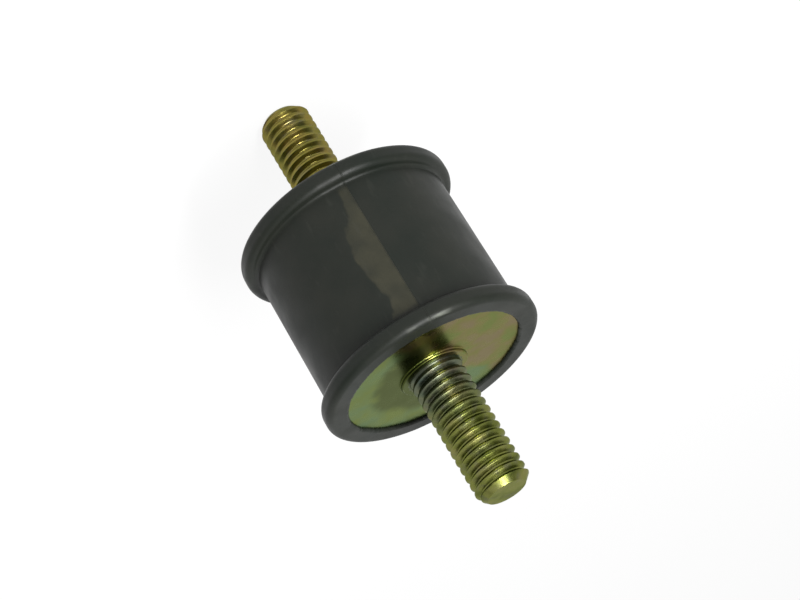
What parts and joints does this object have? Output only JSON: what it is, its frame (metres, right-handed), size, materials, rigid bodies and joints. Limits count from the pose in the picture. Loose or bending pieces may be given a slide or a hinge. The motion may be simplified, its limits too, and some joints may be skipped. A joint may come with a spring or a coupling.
{
  "type": "bobbin vibration mount",
  "caption": "Cylindrical rubber vibration mount with a lip round each end, steel end plates and a threaded stud standing out of each end.",
  "frame": {"origin": "centre of the lower seating face, on the axis of the studs, where the lower stud's thread begins", "axes": "+Z along the studs, from the lower seating face to the upper one; the part is round about Z, so X and Y are free"},
  "size_m": [0.025, 0.025, 0.051],
  "materials": {
    "rubber": "satin",
    "plate_steel": "yellow zinc",
    "stud_steel": "yellow zinc"
  },
  "bodies": {
    "root": {"rubber_body": "rubber", "lower_plate": "plate_steel", "upper_plate": "plate_steel", "lower_stud": "stud_steel", "upper_stud": "stud_steel"}
  },
  "joints": []
}
